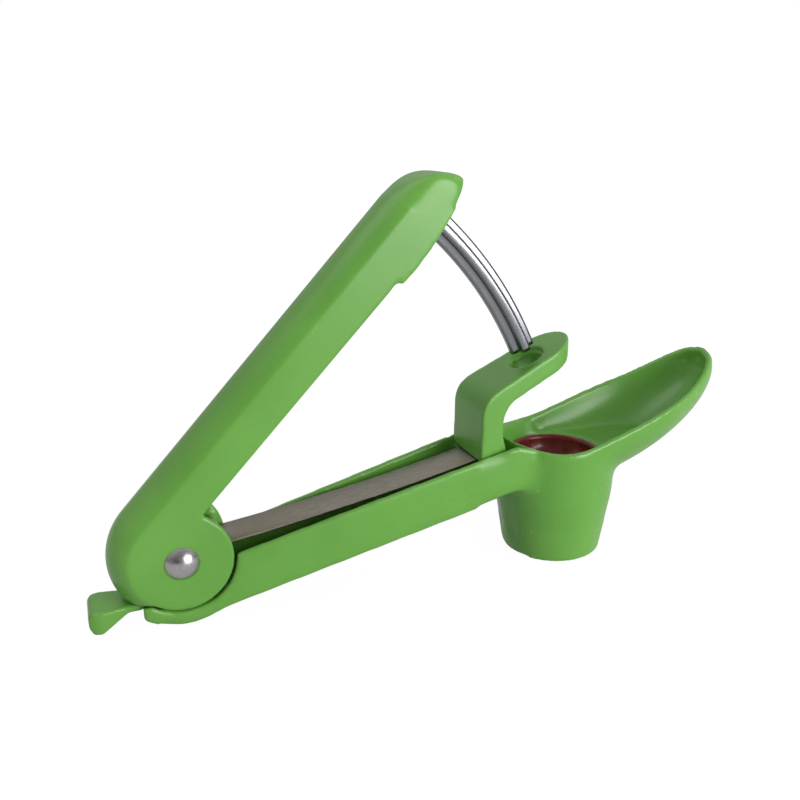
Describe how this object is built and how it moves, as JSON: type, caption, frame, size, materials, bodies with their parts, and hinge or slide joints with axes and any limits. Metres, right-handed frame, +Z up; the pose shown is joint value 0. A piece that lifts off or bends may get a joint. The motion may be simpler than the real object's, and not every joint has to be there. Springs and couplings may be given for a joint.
{
  "type": "olive pitter",
  "caption": "Hand lever pitter for olives and cherries: a sprung hinged handle drives a curved rod through a guide arm into a cup with a soft fruit seat and a scoop.",
  "frame": {"origin": "middle of the cup's foot, on the table", "axes": "+X from the hinge towards the scoop, +Z up, Y along the hinge pin"},
  "size_m": [0.186, 0.0352, 0.1109],
  "materials": {
    "green_plastic": "glossy moulded plastic, leaf green",
    "red_silicone": "smooth dark red silicone",
    "spring_steel": "rolled spring strip, slightly brown",
    "pin_steel": "polished domed rivet",
    "rod_steel": "polished steel with drawn lines along it",
    "screw_steel": "zinc plated"
  },
  "bodies": {
    "base": {"lower_frame": "green_plastic", "cup_liner": "red_silicone", "guide_arm": "green_plastic", "arm_screws": "screw_steel", "leaf_spring": "spring_steel", "pivot_pin": "pin_steel", "pin_cap": "pin_steel"},
    "handle": {"handle": "green_plastic", "plunger_rod": "rod_steel", "rod_screw": "screw_steel"},
    "lock": {"lock_slider": "green_plastic"}
  },
  "joints": [
    {"name": "handle_hinge", "type": "hinge", "parent": "base", "child": "handle", "pos_m": [-0.1102, 0, 0.0178], "axis": [0, 1, 0], "range_deg": [0, 24], "stiffness_Nm_per_rad": 0.8, "springref_deg": -20.05, "deforming": ["leaf_spring"]},
    {"name": "lock_slide", "type": "slide", "parent": "base", "child": "lock", "axis": [1, 0, 0], "range_m": [0, 0.0032]}
  ]
}
